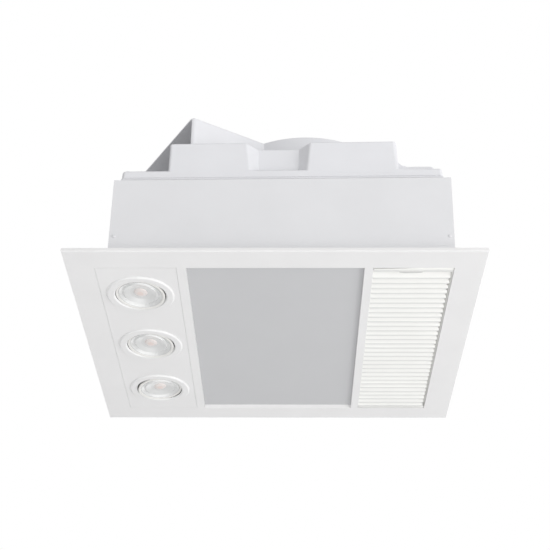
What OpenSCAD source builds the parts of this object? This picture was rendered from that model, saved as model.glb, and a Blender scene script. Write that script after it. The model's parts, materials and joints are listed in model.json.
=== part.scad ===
/* [Fascia] */
// Width of the fascia, left to right
fascia_w = 500; // [492:1:520]
// Depth of the fascia, near to far
fascia_d = 444; // [440:1:470]
// Height of the fascia tray below the ceiling
fascia_h = 4.6; // [4.4:0.1:5.4]
// Sideways offset of the fascia from the body's centre
fascia_dx = -8; // [-10:0.5:-6]

/* [Body] */
// Width of the steel box
body_w = 418; // [418:1:422]
// Depth of the steel box
body_d = 390; // [390:1:394]
// Height of the steel box above the ceiling plane
body_h = 122.8; // [118:0.2:126]
// Thickness of the sheet steel
sheet_t = 1; // [0.8:0.1:1.2]
// Width of the ceiling flange
flange_w = 14; // [12:1:16]
// Screw spacing of the ceiling flange, left to right
screw_dx = 340; // [300:5:360]
// Radius of the ceiling screw holes
screw_hole_r = 2.75; // [2:0.25:3]

/* [Heater window] */
// Left edge of the window
win_x0 = -114.4; // [-116:0.2:-112]
// Right edge of the window
win_x1 = 99.2; // [96:0.2:100]
// Thickness of the frosted glass
glass_t = 4; // [3:0.5:4.5]

/* [Downlights] */
// Distance between the downlights
lamp_pitch = 126.3; // [120:0.1:128]
// Outer radius of the trim ring
ring_r = 41; // [38:0.5:43]
// Radius of the hole that the tilting cup sits in
ring_hole_r = 32.1; // [32:0.1:32.4]
// Radius of the tilting bezel
bezel_r = 30.8; // [30.6:0.1:30.9]
// Tilt of the first two downlights as drawn
tilt_a = -4.5; // [-7:0.5:0]
// Tilt of the third downlight as drawn
tilt_b = -5; // [-7:0.5:0]

/* [Exhaust grille] */
// Distance between the louvre slats
slat_pitch = 11.49; // [11.4:0.01:11.49]
// Number of narrow slats
slat_count = 30; // [30:1:30]
// Height between a slat's two edges
slat_rise = 4.4; // [3:0.2:4.6]

/* [Top cover] */
// Height of the lip's top above the ceiling plane
lip_top = 142.5; // [141:0.5:144]
// Height of the plateau's top above the ceiling plane
plateau_top = 186; // [180:1:192]
// Wall thickness of the mouldings
wall = 2.5; // [2:0.1:3]

/* [Fan scroll] */
// Radius of the scroll drum
drum_r = 131.6; // [131:0.1:132]
// Height of the scroll's top above the ceiling plane
scroll_top = 241.8; // [240:0.2:243]
// Direction of the outlet duct in plan
duct_a = 30.3; // [30:0.1:31]
// Width of the duct's mouth
duct_w = 140; // [134:1:141]
// Outer radius of the impeller
imp_r = 95; // [90:0.5:96]
// Number of impeller blades
blades = 36; // [24:1:40]

/* [Hidden] */
$fn = 96;

// fascia levels: lower face, top of its plate, top of its rim
fz0 = -fascia_h;
plate_t = 1.4;
fz1 = fz0 + plate_t;
fz2 = -0.2;
fx0 = fascia_dx - fascia_w/2;
fx1 = fascia_dx + fascia_w/2;
fy = fascia_d/2;
// openings of the fascia share their near and far edges
oy0 = -185.6;
oy1 = 189;
led_x0 = -223.7;
led_x1 = -125.8;
gr_x0 = 109.5;
gr_x1 = 206.1;
// steel box
bx = body_w/2;
by = body_d/2;
ledge = 20;
// glass rests on the window's return
glass_z = 0.1;
// downlights: centres, pivot level, and each one's pivot direction and tilt
lamp_x = -175;
lamp_y = [2.3 - lamp_pitch, 2.3, 2.3 + lamp_pitch];
pivot_z = 2;
pivot_a = [-50, -50, 90];
tilt = [tilt_a, tilt_a, tilt_b];
// grille hinge line
hinge_y = 186;
hinge_z = -2.4;
// fan: drum centre, impeller centre
dc = [32, 1.5];
ic = [27, -9];
// duct: near corner of the mouth, directions along and across it
mouth_p = [-118.5, -172];
mouth_a = 122.7;
u = [cos(duct_a), sin(duct_a)];
nu = [-sin(duct_a), cos(duct_a)];
mouth_m = mouth_p + duct_w*[cos(mouth_a), sin(mouth_a)];
// the far wall runs parallel to the near one, then straight on to the drum
par_l = 90;
m1 = mouth_m + par_l*u;
vc = dc - m1;
vl = norm(vc);
touch_r = drum_r - 0.4;
tan_a = atan2(vc[1], vc[0]) + asin(touch_r/vl);
touch = m1 + sqrt(vl*vl - touch_r*touch_r)*[cos(tan_a), sin(tan_a)];
nt = [-sin(tan_a), cos(tan_a)];
miter = (nu + nt)/(1 + nu*nt);
base_z = 135;
scroll_z = base_z + wall;
screw_angles = [-112, -58, 2, 50, 95, 135];
screw_ring = drum_r + 6.9;
// motor fixing circle
fix_r = 47.8;
// cover screws, set below the lip's top
cs = [194.3, 181.3];
// damper hinge: set back from the mouth, under the roof
flap_back = 80;
flap_z = 232;
flap_mid = (mouth_p + mouth_m)/2 + flap_back*u;
flap_half = duct_w*sin(mouth_a - duct_a)/2 - wall;
// fascia spring clip places, left to right
clip_x = [-150, 155];

module bar(x0, x1, y0, y1, z0, z1)
  translate([x0, y0, z0]) cube([x1 - x0, y1 - y0, z1 - z0]);

// rounded rectangle, exact: squares and circles
module round_rect(hx, hy, r) {
  square([2*hx - 2*r, 2*hy], center = true);
  square([2*hx, 2*hy - 2*r], center = true);
  for (sx = [-1, 1], sy = [-1, 1]) translate([sx*(hx - r), sy*(hy - r)]) circle(r);
}
module slab(hx, hy, r, z0, z1)
  translate([0, 0, z0]) linear_extrude(z1 - z0) round_rect(hx, hy, r);

// plan outline of the scroll, grown by e, its mouth pushed out by m
function duct_pts(e, m) = [
  mouth_p - e*nu - m*u,
  mouth_p - e*nu + 128*u,
  dc,
  dc + (touch_r + e)*(touch - dc)/touch_r,
  m1 + e*miter,
  mouth_m + e*nu - m*u];
module scroll_plan(e, m) {
  translate(dc) circle(drum_r + e, $fn = 180);
  polygon(duct_pts(e, m));
}

// moves a polygon's edges inwards by d (corners in anticlockwise order)
function edge_n(a, b) = let (v = b - a) [-v[1], v[0]]/norm(v);
function inset(p, d) = let (n = len(p)) [for (i = [0:n-1])
  let (n1 = edge_n(p[(i + n - 1)%n], p[i]), n2 = edge_n(p[i], p[(i + 1)%n]))
  p[i] + d*(n1 + n2)/(1 + n1*n2)];

plateau = [[-141.6, -186], [-46.6, -186], [-30.2, -172.5], [22.4, -172.5],
  [38.9, -186], [145.4, -186], [147, -115], [182, -70], [182, 80],
  [130, 160], [-50, 160], [-120, 100], [-141.6, 40]];
pad = [[130, -178], [193.5, -178], [193.5, -60], [130, -60]];

// ---------- body ----------
// the box is four folded panels, each with its part of the flange and of the ledge;
// the side panels' tabs lie behind the front and rear ones and are riveted to them
module ybar(s, x0, x1, y0, y1, z0, z1) bar(x0, x1, min(s*y0, s*y1), max(s*y0, s*y1), z0, z1);
module xbar(s, x0, x1, y0, y1, z0, z1) bar(min(s*x0, s*x1), max(s*x0, s*x1), y0, y1, z0, z1);
module end_panel(s) color("gainsboro") difference() {
  union() {
    ybar(s, -bx, bx, by - sheet_t, by, -1.2, body_h);
    ybar(s, -bx - flange_w, bx + flange_w, by - sheet_t, by + flange_w, -1.2, 0);
    ybar(s, -bx + sheet_t, bx - sheet_t, by - ledge + 2, by, body_h - sheet_t, body_h);
  }
  for (sx = [-1, 1]) {
    translate([sx*screw_dx/2, s*(by + 7), -2]) cylinder(r = screw_hole_r, h = 3);
    translate([sx*cs[0], s*cs[1], body_h - 2]) cylinder(r = 1.8, h = 3);
    translate([sx*202.5, s*(by + 1), 35]) rotate([90*s, 0, 0]) cylinder(r = 1.6, h = 3);
  }
  if (s > 0) translate([160, by + 1, 96]) rotate([90, 0, 0]) cylinder(r = 10.2, h = 3);
}
module body_front() end_panel(-1);
module body_rear() end_panel(1);
module side_panel(s) color("gainsboro") difference() {
  union() {
    xbar(s, bx - sheet_t, bx, -by + sheet_t, by - sheet_t, -1.2, body_h);
    xbar(s, bx - sheet_t, bx + flange_w, -by + sheet_t, by - sheet_t, -1.2, 0);
    xbar(s, bx - ledge, bx, -by + ledge - 2, by - ledge + 2, body_h - sheet_t, body_h);
    for (t = [-1, 1]) xbar(s, bx - 12, bx, min(t*(by - sheet_t), t*(by - 2*sheet_t)), max(t*(by - sheet_t), t*(by - 2*sheet_t)), 4, body_h - 6);
  }
  for (t = [-1, 1]) translate([s*202.5, t*(by + 1), 35]) rotate([90*t, 0, 0]) cylinder(r = 1.6, h = 5);
}
module body_left() side_panel(-1);
module body_right() side_panel(1);

module body_rivets() color("silver") for (sx = [-1, 1], sy = [-1, 1])
  translate([sx*202.5, sy*by, 35]) rotate([-90*sy, 0, 0]) union() {
    rotate_extrude() polygon([[0, -4], [2.4, -4], [2.4, -2], [1.6, -2], [1.6, 0],
      [2.4, 0], [2.2, 0.5], [1.6, 0.85], [0.8, 1.05], [0, 1.1]]);
  }

module cover_post(a, r, h, z0) translate([dc[0] + screw_ring*cos(a), dc[1] + screw_ring*sin(a), z0])
  cylinder(r = r, h = h);

module top_cover() color("whitesmoke") difference() {
  union() {
    difference() {
      union() {
        slab(203, 188, 3, body_h, 131);
        slab(201, 186.5, 3.6, 130.9, lip_top);
        translate([0, 0, lip_top - 0.1]) linear_extrude(plateau_top - lip_top + 0.1) polygon(plateau);
        translate([0, 0, lip_top - 0.1]) linear_extrude(11.6) polygon(pad);
      }
      slab(203 - wall, 188 - wall, 4, body_h - 1, lip_top - wall);
      translate([0, 0, lip_top - wall - 0.1]) linear_extrude(plateau_top - lip_top + 0.1)
        polygon(inset(plateau, wall));
      translate([0, 0, lip_top - wall - 0.1]) linear_extrude(11.6) polygon(inset(pad, wall));
    }
    // wall of the left block along the mouth
    translate([0, 0, lip_top - wall]) linear_extrude(plateau_top - lip_top + wall) intersection() {
      polygon([mouth_p - 0.4*nu - 0.1*u - 3*u, mouth_p - 0.4*nu - 0.1*u,
        mouth_m - 0.1*u, mouth_m - 3*u]);
      polygon(plateau);
    }
    for (a = screw_angles) cover_post(a, 5, plateau_top - lip_top + 1, lip_top - wall);
    for (sx = [-1, 1], sy = [-1, 1]) translate([sx*cs[0], sy*cs[1], body_h]) cylinder(r = 5, h = lip_top - body_h - 1);
  }
  translate([0, 0, body_h - 1]) linear_extrude(plateau_top) scroll_plan(0.4, 0);
  for (a = screw_angles) cover_post(a, 1.6, 20, lip_top - wall - 1);
  for (sx = [-1, 1], sy = [-1, 1]) {
    translate([sx*cs[0], sy*cs[1], body_h - 1]) cylinder(r = 2.1, h = 30);
    translate([sx*cs[0], sy*cs[1], lip_top - 1.6]) cylinder(r = 3.2, h = 3);
  }
}

module pan_screw(r, l, hr, hh) {
  // head on top, shank down
  cylinder(r = r, h = l);
  translate([0, 0, l]) difference() {
    rotate_extrude() polygon([[0, 0], [hr, 0], [hr, hh*0.4], [hr*0.82, hh*0.8], [hr*0.45, hh], [0, hh]]);
    for (q = [0, 90]) rotate(q) translate([-hr*0.55, -0.4, hh*0.45]) cube([hr*1.1, 0.8, hh]);
  }
}

module cover_screws() color("silver") for (sx = [-1, 1], sy = [-1, 1])
  translate([sx*cs[0], sy*cs[1], body_h - 5]) pan_screw(1.75, lip_top - 1.6 - body_h + 5, 3, 1.6);

module scroll_housing() color("white") difference() {
  union() {
    translate([0, 0, scroll_z]) linear_extrude(scroll_top - scroll_z) scroll_plan(0, 0);
    translate([dc[0], dc[1], scroll_z]) cylinder(r = drum_r + 12, h = wall, $fn = 180);
  }
  translate([0, 0, scroll_z - 1]) linear_extrude(scroll_top - scroll_z - wall + 1) scroll_plan(-wall, 6);
  // the flange stops short of the mouth
  translate([0, 0, scroll_z - 1]) linear_extrude(wall + 2)
    polygon([mouth_p - 0.01*u - 20*nu, mouth_p - 60*u - 20*nu, mouth_m - 60*u + 20*nu, mouth_m - 0.01*u + 20*nu]);
  for (a = screw_angles) cover_post(a, 2.1, wall + 2, scroll_z - 1);
  // motor fixing holes and boss ring in the roof
  for (q = [45:90:315]) translate([ic[0] + fix_r*cos(q), ic[1] + fix_r*sin(q), scroll_top - wall - 1]) cylinder(r = 2.1, h = wall + 2);
  // sockets for the damper pin
  translate([flap_mid[0], flap_mid[1], flap_z]) rotate([0, 0, duct_a]) rotate([-90, 0, 0])
    translate([0, 0, -flap_half - 1.2]) cylinder(r = 1.5, h = 2*flap_half + 2.4);
}

module scroll_base() color("lightgray") difference() {
  translate([0, 0, base_z]) linear_extrude(wall) union() {
    scroll_plan(0, 0);
    translate(dc) circle(drum_r + 12, $fn = 180);
  }
  translate([ic[0], ic[1], base_z - 1]) cylinder(r = 80.4, h = wall + 2);
  translate([0, 0, base_z - 1]) linear_extrude(wall + 2)
    polygon([mouth_p - 0.01*u - 20*nu, mouth_p - 60*u - 20*nu, mouth_m - 60*u + 20*nu, mouth_m - 0.01*u + 20*nu]);
  for (a = screw_angles) cover_post(a, 2.1, wall + 2, base_z - 1);
}

module inlet_ring() color("silver") translate([ic[0], ic[1], 0]) rotate_extrude($fn = 144)
  polygon(concat([[90, base_z - 1.4], [90, base_z], [80, base_z]],
    [for (q = [0:15:90]) [74 + 6*(1 - sin(q)) - 0.2, base_z + 0 + 6*(1 - cos(q))]],
    [[73.8, 146], [72.6, 146]],
    [for (q = [90:-15:0]) [72.6 + 7.2*(1 - sin(q)), base_z - 1.4 + 7.2*(1 - cos(q))]]));

module scroll_screws() color("silver") for (a = screw_angles)
  translate([dc[0] + screw_ring*cos(a), dc[1] + screw_ring*sin(a), base_z + 22 - 0.01]) rotate([180, 0, 0])
    pan_screw(1.6, 22, 4, 2.2);

// ---------- motor ----------
module motor_housing() color("silver") translate([ic[0], ic[1], 0]) difference() {
  union() {
    translate([0, 0, 235.9]) cylinder(r = 52, h = 3);
    translate([0, 0, 186]) cylinder(r = 44, h = 50);
    translate([0, 0, 180]) cylinder(r = 11, h = 7);
  }
  difference() {
    translate([0, 0, 187.5]) cylinder(r = 42.5, h = 47);
    translate([0, 0, 228.6]) cylinder(r = 12, h = 8);
  }
  translate([0, 0, 228]) cylinder(r = 9, h = 6.5);
  translate([0, 0, 179]) cylinder(r = 7, h = 10);
  for (q = [45:90:315]) rotate(q) translate([fix_r, 0, 235]) cylinder(r = 2, h = 5);
  for (q = [0:45:315]) rotate(q) translate([28, 0, 185]) cylinder(r = 5, h = 4);
}
module motor_stator() color("slategray") translate([ic[0], ic[1], 0]) difference() {
  union() {
    translate([0, 0, 194]) cylinder(r = 42.5, h = 30);
    translate([0, 0, 190]) cylinder(r = 34, h = 38);
  }
  translate([0, 0, 189]) cylinder(r = 20.4, h = 41);
  for (q = [0:30:330]) rotate(q) translate([23, -2, 189]) cube([9, 4, 41]);
}
module motor_bushes() color("goldenrod") translate([ic[0], ic[1], 0]) {
  translate([0, 0, 180.2]) difference() { cylinder(r = 7, h = 7); translate([0, 0, -1]) cylinder(r = 4.04, h = 9); }
  translate([0, 0, 229]) difference() { cylinder(r = 9, h = 5.5); translate([0, 0, -1]) cylinder(r = 4.04, h = 8); }
}
module motor_screws() color("silver") for (q = [45:90:315])
  translate([ic[0] + fix_r*cos(q), ic[1] + fix_r*sin(q), 232]) pan_screw(2, scroll_top - 232, 4.2, 2.2);

module motor_rotor() color("dimgray") translate([ic[0], ic[1], 0]) difference() {
  union() {
    translate([0, 0, 194]) cylinder(r = 20, h = 30);
    translate([0, 0, 190.5]) cylinder(r = 16, h = 37);
  }
  translate([0, 0, 189]) cylinder(r = 4, h = 42);
}
module motor_shaft() color("silver") translate([ic[0], ic[1], 151]) cylinder(r = 4, h = 83);

// one forward-curved blade: a thin arc in plan, from the cage's inner to its outer edge
function blade_arc(r, a0, a1, n) = [for (i = [0:n]) r*[cos(a0 + (a1 - a0)*i/n), sin(a0 + (a1 - a0)*i/n)]];
module impeller() color("ivory") translate([ic[0], ic[1], 0]) {
  difference() {
    union() {
      translate([0, 0, 219.5]) cylinder(r = imp_r, h = 2.5);
      translate([0, 0, 170]) cylinder(r = 52.5, h = 51);
      translate([0, 0, 156]) cylinder(r = 12, h = 15);
      for (q = [0:60:300]) rotate(q) translate([10, -1.2, 160]) cube([36, 2.4, 11]);
    }
    translate([0, 0, 172.5]) cylinder(r = 50, h = 60);
    translate([0, 0, 155]) cylinder(r = 4, h = 20);
  }
  difference() {
    translate([0, 0, 148]) cylinder(r = imp_r, h = 3);
    translate([0, 0, 147]) cylinder(r = imp_r - 17, h = 5);
  }
  for (k = [0:blades-1]) rotate(k*360/blades) translate([imp_r - 8.5, -12, 150])
    linear_extrude(70) polygon(concat(blade_arc(15, 57, 123, 5), blade_arc(13.8, 123, 57, 5)));
}
module impeller_nut() color("silver") translate([ic[0], ic[1], 0]) difference() {
  union() {
    translate([0, 0, 149]) cylinder(r = 7.5, h = 6, $fn = 6);
    translate([0, 0, 155]) cylinder(r = 8, h = 1);
  }
  translate([0, 0, 148]) cylinder(r = 4, h = 9);
}

// ---------- back-draught damper ----------
module at_flap() translate([flap_mid[0], flap_mid[1], flap_z]) rotate([0, 0, duct_a]) children();
module damper_flap() color("dimgray") at_flap() difference() {
  union() {
    translate([-1, -flap_half + 2, -91]) cube([2, 2*flap_half - 4, 91]);
    rotate([-90, 0, 0]) translate([0, 0, -flap_half + 2]) cylinder(r = 3.4, h = 2*flap_half - 4);
    for (y = [-40, 0, 40]) translate([0, y - 1, -80]) cube([2.6, 2, 78]);
  }
  rotate([-90, 0, 0]) translate([0, 0, -flap_half]) cylinder(r = 1.55, h = 2*flap_half);
}
module damper_pin() color("silver") at_flap() rotate([-90, 0, 0])
  translate([0, 0, -flap_half - 1.2]) cylinder(r = 1.5, h = 2*flap_half + 2.4);

// ---------- electrical pieces ----------
module run_capacitor() color("white") translate([-95, 60, 86]) rotate([-90, 0, 0]) {
  cylinder(r = 15, h = 52);
  for (y = [-4, 4]) translate([y, 0, 52]) translate([-0.4, -3, 0]) cube([0.8, 6, 8]);
  translate([-11, 11, 18]) cube([22, 4, 10]);
}
module junction_box() color("gainsboro") difference() {
  bar(112, 196.5, 148, by - sheet_t, 76, 117);
  bar(114, 194.5, 150, by - sheet_t - 2, 75, 115);
  translate([160, by + 1, 96]) rotate([90, 0, 0]) cylinder(r = 10.2, h = 6);
  translate([111, 165, 104]) rotate([0, 90, 0]) cylinder(r = 5, h = 4);
}
module junction_lid() color("gainsboro") difference() {
  bar(112, 196.5, 148, by - sheet_t, 74.6, 76);
  for (x = [118, 190.5]) translate([x, 154, 74]) cylinder(r = 1.6, h = 3);
}
module terminal_block() color("ivory") difference() {
  union() {
    bar(117, 191, 156, 172, 101, 115);
    for (i = [0:4]) translate([125 + 14.4*i, 164, 98]) cylinder(r = 5, h = 4);
  }
  for (i = [0:4]) translate([125 + 14.4*i, 164, 97]) cylinder(r = 2.5, h = 12);
  for (i = [0:4]) translate([125 + 14.4*i, 155, 108]) rotate([-90, 0, 0]) cylinder(r = 2, h = 18);
}
module cable_gland() color("dimgray") translate([160, by, 96]) rotate([-90, 0, 0]) difference() {
  union() {
    cylinder(r = 13, h = 6, $fn = 6);
    translate([0, 0, 5]) cylinder(r = 11.4, h = 7);
    translate([0, 0, 11]) rotate_extrude() polygon([[0, 0], [11, 0], [11, 5], [8.5, 8], [0, 8]]);
    translate([0, 0, -14]) cylinder(r = 10, h = 15);
  }
  translate([0, 0, -15]) cylinder(r = 6, h = 36);
}
module gland_nut() color("dimgray") translate([160, by - 3, 96]) rotate([90, 0, 0]) difference() {
  cylinder(r = 14, h = 5, $fn = 6);
  translate([0, 0, -1]) cylinder(r = 10, h = 7);
}
module led_driver() color("white") difference() {
  union() {
    bar(-bx + sheet_t, -181, -70, 50, 62, 92);
    bar(-bx + sheet_t, -205.5, -80, 60, 66, 88);
  }
  for (y = [-75, 55]) translate([-210, y, 77]) rotate([0, 90, 0]) cylinder(r = 1.8, h = 8);
}

// ---------- heater ----------
tr_a = 53.5;
tr_b = 50;
tr_x = [-61.6, 46.8];
tr_z = 6.2;
function trough(cx, g) = [for (q = [180:-7.5:0]) [cx + (tr_a + g)*cos(q), tr_z + (tr_b + g)*sin(q)]];
module trough_plan(g) for (cx = tr_x) polygon(trough(cx, g));
module xz(y0, y1) translate([0, y1, 0]) rotate([90, 0, 0]) linear_extrude(y1 - y0) children();
module heater_reflector() color("silver") union() {
  difference() {
    xz(-180, 186) trough_plan(0.8);
    xz(-179.2, 185.2) trough_plan(0);
  }
  // flat edge along the bottom
  difference() {
    bar(-117.5, 102.5, -182, 188, tr_z - 0.2, tr_z + 0.8);
    for (cx = tr_x) bar(cx - tr_a + 0.2, cx + tr_a - 0.2, -179.2, 185.2, tr_z - 1, tr_z + 2);
  }
}
module heat_shield() color("lightgray") difference() {
  union() {
    bar(104.6, 105.6, -by + sheet_t, by - sheet_t, 6.2, 71);
    bar(-121, 105.6, -by + sheet_t, by - sheet_t, 70, 71);
    bar(-122, -121, -by + sheet_t, by - sheet_t, 40, 71);
    for (y = [-90, 90]) bar(-68, 53, y, y + 1, 57, 70);
  }
  for (x = [-110, 95], y = [-100, 100]) translate([x, y, 69]) cylinder(r = 2, h = 3);
}
module reflector_brackets() color("gray") for (s = [-1, 1]) {
  y0 = s < 0 ? -by + sheet_t : 186;
  y1 = s < 0 ? -180 : by - sheet_t;
  for (x = [-62, 47]) {
    bar(x - 14, x + 14, y0, y1, 30, 31.2);
    bar(x - 14, x + 14, s < 0 ? y0 : y1 - 1.2, s < 0 ? y0 + 1.2 : y1, 20, 31.2);
    bar(x - 14, x + 14, s < 0 ? y1 - 1.2 : y0, s < 0 ? y1 : y0 + 1.2, 20, 31.2);
  }
}
module quartz_lamp(cx) translate([cx, 0, 32]) rotate([-90, 0, 0]) {
  translate([0, 0, -150]) cylinder(r = 5.5, h = 306);
  for (s = [-1, 1]) translate([0, 0, 3 + s*153 + (s < 0 ? -12 : 0)]) cylinder(r = 3, h = 12);
  for (s = [-1, 1]) translate([0, 0, 3 + s*163 + (s < 0 ? -12 : 0)]) cylinder(r = 6, h = 12);
}
module quartz_lamp_left() color("peachpuff") quartz_lamp(tr_x[0]);
module quartz_lamp_right() color("peachpuff") quartz_lamp(tr_x[1]);
module lamp_holders() color("ivory") for (cx = tr_x, s = [-1, 1])
  difference() {
    if (s < 0) bar(cx - 10, cx + 10, -179.2, -164, 20, 44);
    else bar(cx - 10, cx + 10, 170, 185.2, 20, 44);
    if (s < 0) translate([cx, -172, 32]) rotate([-90, 0, 0]) cylinder(r = 6, h = 20);
    else translate([cx, 178, 32]) rotate([90, 0, 0]) cylinder(r = 6, h = 20);
  }
module thermal_cutout() color("black") translate([tr_x[0], 40, tr_z + tr_b + 0.8]) {
  cylinder(r = 8.5, h = 7);
  for (s = [-1, 1]) translate([s*5 - 0.4, -3, 6]) cube([0.8, 6, 7]);
}

// ---------- fascia ----------
module fascia_frame() color("white") difference() {
  union() {
    difference() {
      union() {
        bar(fx0, fx1, -fy, fy, fz0 + 0.8, fz2);
        bar(fx0 + 0.5, fx1 - 0.5, -fy + 0.5, fy - 0.5, fz0, fz0 + 1);
      }
      bar(fx0 + 1.4, fx1 - 1.4, -fy + 1.4, fy - 1.4, fz1, 1);
    }
    bar(win_x0 - 1.2, win_x1 + 1.2, oy0 - 1.2, oy1 + 1.2, fz0 + 0.2, glass_z);
    bar(gr_x0 - 1.2, gr_x1 + 1.2, oy0 - 1.2, oy1 + 1.2, fz0 + 0.2, 5);
  }
  bar(win_x0, win_x1, oy0, oy1, fz0 - 1, 3);
  bar(gr_x0, gr_x1, oy0, oy1, fz0 - 1, 6);
  bar(led_x0, led_x1, oy0, oy1, fz0 - 1, fz1 + 0.01);
  for (x = [gr_x0 - 2, gr_x1 - 1]) translate([x, hinge_y, hinge_z]) rotate([0, 90, 0]) cylinder(r = 1.2, h = 3);
}
module heater_glass() color("lightgray") bar(win_x0 - 4, win_x1 + 4, oy0 - 4, oy1 + 4, glass_z, glass_z + glass_t);
module glass_clips() color("silver") for (y = [-120, 0, 120]) {
  bar(win_x0 - 5.1, win_x0 - 4.2, y - 6, y + 6, fz1, glass_z + glass_t + 0.9);
  bar(win_x0 - 5.1, win_x0 + 1, y - 6, y + 6, glass_z + glass_t, glass_z + glass_t + 0.9);
  bar(win_x1 + 4.2, win_x1 + 5.1, y - 6, y + 6, fz1, glass_z + glass_t + 0.9);
  bar(win_x1 - 1, win_x1 + 5.1, y - 6, y + 6, glass_z + glass_t, glass_z + glass_t + 0.9);
}
module led_plate() color("white") difference() {
  union() {
    bar(led_x0 + 0.25, led_x1 - 0.25, oy0 + 0.25, oy1 - 0.25, fz0, fz1 + 0.1);
    bar(led_x0 - 3, led_x1 + 3, oy0 - 3, oy1 + 3, fz1, fz1 + 1);
  }
  for (y = lamp_y) translate([lamp_x, y, fz0 - 1]) cylinder(r = ring_hole_r + 1.1, h = 5);
}
module fascia_clips() color("silver") for (x = clip_x, s = [-1, 1]) {
  y0 = s < 0 ? -193.2 : 192.4;
  bar(x - 7, x + 7, y0, y0 + 0.8, fz1, 66);
  bar(x - 7, x + 7, s < 0 ? y0 : y0 - 4, s < 0 ? y0 + 4.8 : y0 + 0.8, 65.2, 66);
  bar(x - 7, x + 7, s < 0 ? y0 : 190.4, s < 0 ? -189 : y0 + 0.8, s < 0 ? fz1 : -1.9, s < 0 ? fz1 + 0.8 : -1.1);
}
module clip_keepers() color("gray") for (x = clip_x, s = [-1, 1]) {
  y0 = s < 0 ? -by + sheet_t : by - sheet_t - 3.2;
  difference() {
    bar(x - 13, x + 13, y0, y0 + 3.2, 6, 16);
    bar(x - 8, x + 8, s < 0 ? y0 - 1 : y0 + 0.8, s < 0 ? y0 + 2.4 : y0 + 5, 5, 17);
  }
}

// ---------- downlights ----------
module at_lamp(i) translate([lamp_x, lamp_y[i], 0]) rotate([0, 0, pivot_a[i]]) children();
module tilted(i) translate([0, 0, pivot_z]) rotate([tilt[i], 0, 0]) translate([0, 0, -pivot_z]) children();
module lamp_ring(i) color("white") at_lamp(i) difference() {
  rotate_extrude($fn = 120) polygon(concat([[ring_hole_r, 11], [ring_hole_r, fz0 - 1.6]],
    [[ring_hole_r + 0.5, fz0 - 2.1]],
    [for (q = [-90:15:0]) [ring_r - 1.6 + 1.6*cos(q), fz0 - 0.5 + 1.6*sin(q)]],
    [[ring_r, fz0], [ring_hole_r + 0.8, fz0], [ring_hole_r + 0.8, 11]]));
  translate([-40, 0, pivot_z]) rotate([0, 90, 0]) cylinder(r = 1.25, h = 80);
}
module lamp_ring_1() lamp_ring(0);
module lamp_ring_2() lamp_ring(1);
module lamp_ring_3() lamp_ring(2);
module lamp_pivot_pins() color("silver") for (i = [0:2], s = [0, 180]) at_lamp(i) rotate([0, 0, s])
  translate([28.5, 0, pivot_z]) rotate([0, 90, 0]) cylinder(r = 1.25, h = 4.4);
module lamp_spring_clips() color("silver") for (i = [0:2], s = [-1, 1]) translate([lamp_x, lamp_y[i], 0]) {
  bar(-5, 5, s < 0 ? -46 : 33.6, s < 0 ? -33.6 : 46, fz1 + 1, fz1 + 1.8);
  bar(-5, 5, s < 0 ? -34.4 : 33.6, s < 0 ? -33.6 : 34.4, fz1 + 1, 9);
}
module lamp_gimbal(i) color("white") at_lamp(i) tilted(i) difference() {
  rotate_extrude($fn = 120) polygon([[27.2, -3.2], [29.4, -6], [29.8, -6.2], [30.2, -6.1], [bezel_r, -5.2], [bezel_r, -4.2],
    [29.4, -3.4], [29.4, 10], [12, 10], [12, 8.6], [28.2, 8.6], [28.2, -2.4], [27.2, -2.4]]);
  translate([-40, 0, pivot_z]) rotate([0, 90, 0]) cylinder(r = 1.31, h = 80);
}
module lamp_lens(i) color("lightblue") at_lamp(i) tilted(i) rotate_extrude($fn = 120)
  polygon([[0, -2.7], [14, -2.9], [26.8, -3.2], [27.1, -2.9], [27.1, -2.4], [28, -2.4], [28, -1.4], [22, -0.4], [9, 6.7], [7.6, 6.7], [7.6, 3.2], [0, 3.2]]);
module led_board(i) color("peachpuff") at_lamp(i) tilted(i) {
  translate([0, 0, 6.7]) cylinder(r = 17, h = 1.9);
  translate([0, 0, 5.8]) cylinder(r = 6.5, h = 1);
}
module lamp_heatsink(i) color("silver") at_lamp(i) tilted(i) difference() {
  union() {
    translate([0, 0, 8.6]) cylinder(r = 11.9, h = 2);
    translate([0, 0, 10]) cylinder(r = 20, h = 28);
  }
  for (k = [0:11]) rotate(k*30 + 15) translate([10, -1.6, 13]) cube([12, 3.2, 30]);
}
module lamp_gimbal_1() lamp_gimbal(0);
module lamp_gimbal_2() lamp_gimbal(1);
module lamp_gimbal_3() lamp_gimbal(2);
module lamp_lens_1() lamp_lens(0);
module lamp_lens_2() lamp_lens(1);
module lamp_lens_3() lamp_lens(2);
module led_board_1() led_board(0);
module led_board_2() led_board(1);
module led_board_3() led_board(2);
module lamp_heatsink_1() lamp_heatsink(0);
module lamp_heatsink_2() lamp_heatsink(1);
module lamp_heatsink_3() lamp_heatsink(2);

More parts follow.
